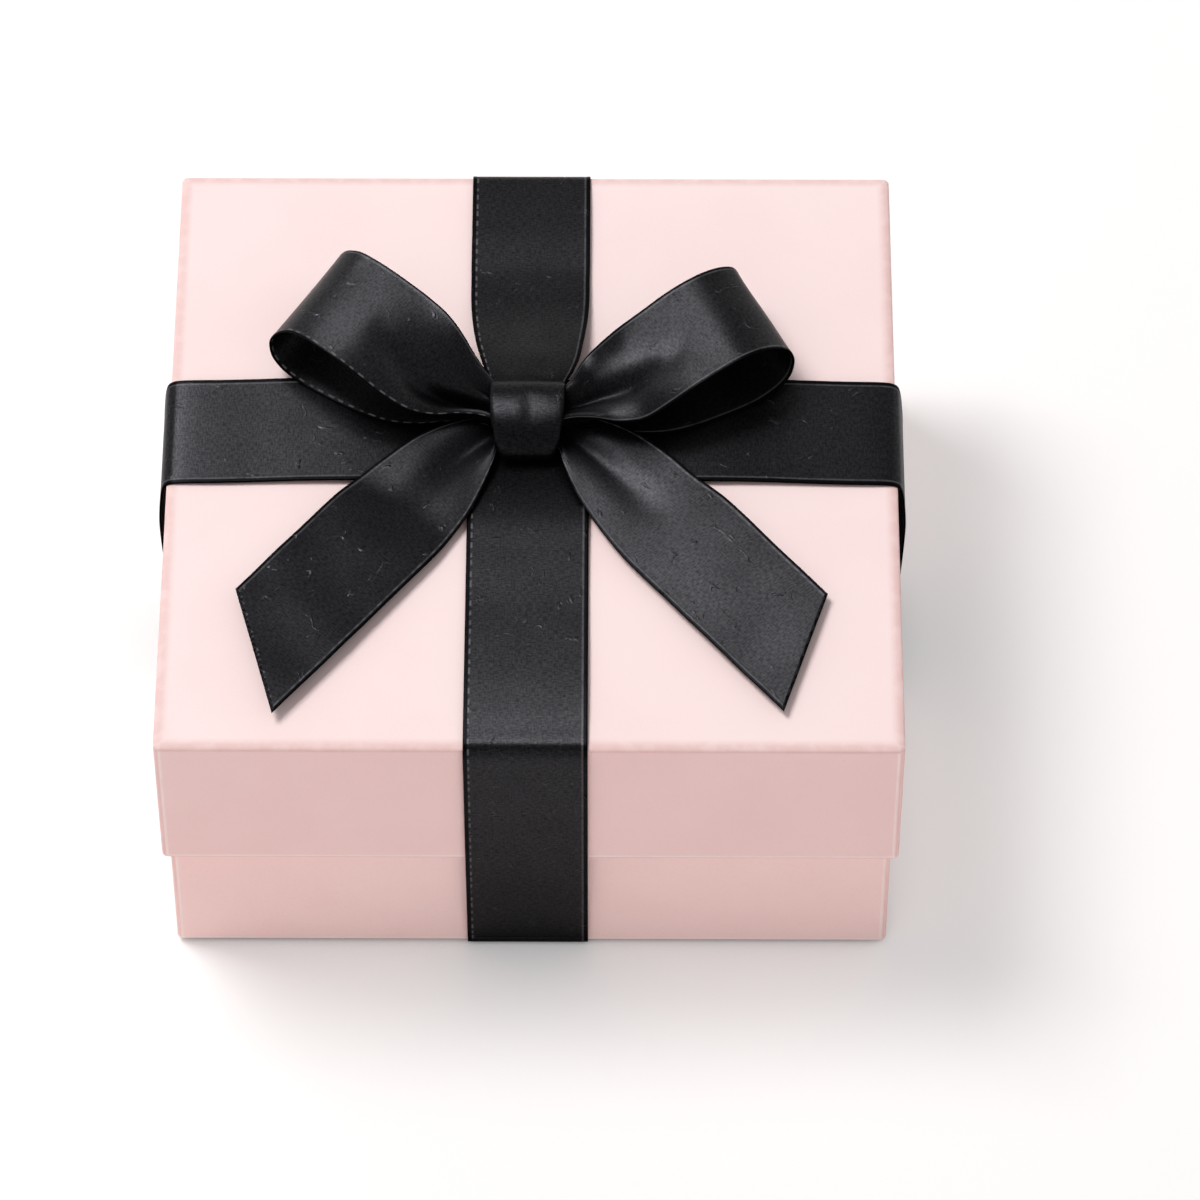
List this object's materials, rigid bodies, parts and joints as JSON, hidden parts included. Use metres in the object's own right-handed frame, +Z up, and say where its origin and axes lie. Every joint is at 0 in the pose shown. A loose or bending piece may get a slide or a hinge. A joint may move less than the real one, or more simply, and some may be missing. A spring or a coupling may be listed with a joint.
{
  "type": "gift box",
  "caption": "Square rigid gift box with a lift-off lid, paper covered, tied both ways with flat ribbon and a bow on top.",
  "frame": {"origin": "on the table, under the middle of the box: the bottom centre of the bounding box", "axes": "+Z up out of the lid, -Y towards the front where the bow's tails point, +X to the right seen from the front"},
  "size_m": [0.1548, 0.1548, 0.0898],
  "materials": {
    "pink_paper": "matt coated",
    "lining_paper": "matt",
    "greyboard": "matt",
    "stay_tape": "matt",
    "black_ribbon": "satin"
  },
  "bodies": {
    "base": {"base_board": "greyboard", "base_stays": "stay_tape", "base_wrap": "pink_paper", "base_liner": "lining_paper", "ribbon_under_long": "black_ribbon", "ribbon_under_cross": "black_ribbon"},
    "lid": {"lid_board": "greyboard", "lid_stays": "stay_tape", "lid_wrap": "pink_paper", "lid_liner": "lining_paper"},
    "ribbon": {"ribbon_top_cross": "black_ribbon", "ribbon_fall_left": "black_ribbon", "ribbon_fall_right": "black_ribbon", "ribbon_arm_front": "black_ribbon", "ribbon_arm_rear": "black_ribbon", "ribbon_fall_front": "black_ribbon", "ribbon_fall_rear": "black_ribbon", "bow_knot": "black_ribbon", "bow_loop_left": "black_ribbon", "bow_loop_right": "black_ribbon", "bow_tail_left": "black_ribbon", "bow_tail_right": "black_ribbon"}
  },
  "joints": [
    {"name": "lid_lift", "type": "slide", "parent": "base", "child": "lid", "axis": [0, 0, 1], "range_m": [0, 0.08]},
    {"name": "ribbon_lift", "type": "slide", "parent": "lid", "child": "ribbon", "axis": [0, 0, 1], "range_m": [0, 0.09]}
  ]
}
